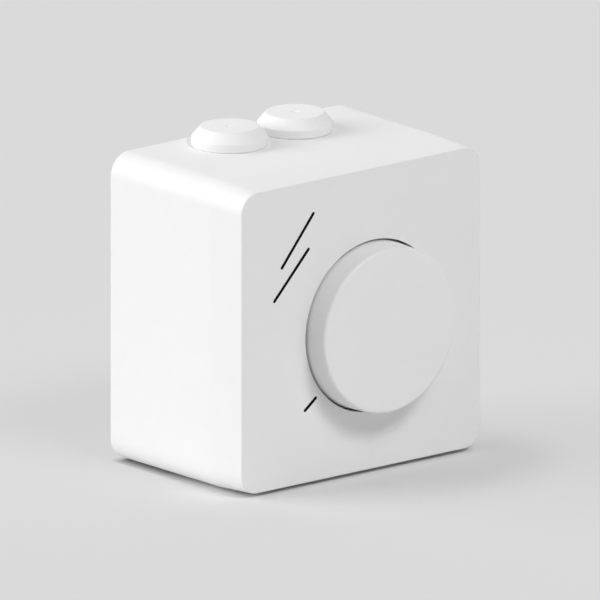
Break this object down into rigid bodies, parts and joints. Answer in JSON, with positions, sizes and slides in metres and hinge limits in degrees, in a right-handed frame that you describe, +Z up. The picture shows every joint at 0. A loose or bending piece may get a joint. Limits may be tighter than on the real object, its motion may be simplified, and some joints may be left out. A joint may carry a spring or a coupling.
{
  "type": "fan speed controller",
  "caption": "Square surface-mounted fan speed controller box with a large round dial in a well and cable grommets on top.",
  "frame": {"origin": "centre of the flat wall face at the back", "axes": "+X to the right seen from the front, +Y back towards the wall, +Z up; the dial faces -Y"},
  "size_m": [0.082, 0.0586, 0.087],
  "materials": {
    "housing_plastic": "fine moulded satin",
    "cover_plastic": "fine moulded satin",
    "dial_plastic": "smooth moulded satin",
    "grommet_rubber": "soft white elastomer",
    "seal_rubber": "dark grey elastomer",
    "plate_aluminium": "plain rolled sheet",
    "screw_steel": "zinc plated",
    "pot_can_steel": "tin plated sheet",
    "bush_brass": "nickel-washed turned brass",
    "shaft_steel": "turned",
    "pot_phenolic": "pressed phenolic",
    "track_carbon": "carbon film",
    "lead_tin": "tinned",
    "board_laminate": "green solder resist on glass laminate",
    "terminal_plastic": "moulded green",
    "clamp_brass": "nickel plated",
    "fuse_glass": "clear",
    "trimmer_plastic": "moulded black",
    "rotor_plastic": "moulded ivory",
    "triac_epoxy": "moulded epoxy",
    "pad_silicone": "grey silicone sheet",
    "capacitor_plastic": "moulded yellow",
    "ferrite": "pressed ferrite powder",
    "winding_copper": "enamelled copper",
    "chip_coating": "fired coating on a ceramic chip",
    "film_capacitor": "moulded red",
    "diode_epoxy": "moulded epoxy"
  },
  "bodies": {
    "housing": {"rear_housing": "housing_plastic", "front_cover": "cover_plastic", "cable_grommet_left": "grommet_rubber", "cable_grommet_right": "grommet_rubber", "cover_seal": "seal_rubber", "mounting_plate": "plate_aluminium", "plate_screws": "screw_steel", "cover_screws": "screw_steel", "board_screws": "screw_steel", "triac_screw": "screw_steel", "triac_nut": "screw_steel", "terminal_screws": "screw_steel", "cover_spacers": "clamp_brass", "board_spacers": "clamp_brass", "pot_nut": "screw_steel", "pot_washer": "screw_steel", "pot_case": "pot_can_steel", "pot_bush": "bush_brass", "pot_track": "track_carbon", "pot_deck": "pot_phenolic", "pot_pins": "lead_tin", "circuit_board": "board_laminate", "terminal_block": "terminal_plastic", "terminal_clamps": "clamp_brass", "fuse_caps": "clamp_brass", "fuse_glass": "fuse_glass", "fuse_wire": "lead_tin", "fuse_clips": "clamp_brass", "trimmer_body": "trimmer_plastic", "triac": "triac_epoxy", "triac_pad": "pad_silicone", "suppression_capacitor": "capacitor_plastic", "choke_core": "ferrite", "choke_winding": "winding_copper", "timing_resistors": "chip_coating", "timing_capacitors": "film_capacitor", "trigger_diac": "diode_epoxy"},
    "shaft": {"dial_shaft": "shaft_steel", "pot_wiper": "pot_phenolic"},
    "dial": {"control_knob": "dial_plastic", "knob_clip": "screw_steel"},
    "trimmer": {"trimmer_rotor": "rotor_plastic"}
  },
  "joints": [
    {"name": "dial_turn", "type": "hinge", "parent": "housing", "child": "shaft", "pos_m": [0.0042, -0.048, -0.0019], "axis": [0, 1, 0], "range_deg": [0, 270]},
    {"name": "dial_pull", "type": "slide", "parent": "shaft", "child": "dial", "axis": [0, -1, 0], "range_m": [0, 0.008]},
    {"name": "trimmer_turn", "type": "hinge", "parent": "housing", "child": "trimmer", "pos_m": [0.0042, -0.031, -0.0172], "axis": [0, 1, 0], "range_deg": [-117, 117]}
  ]
}
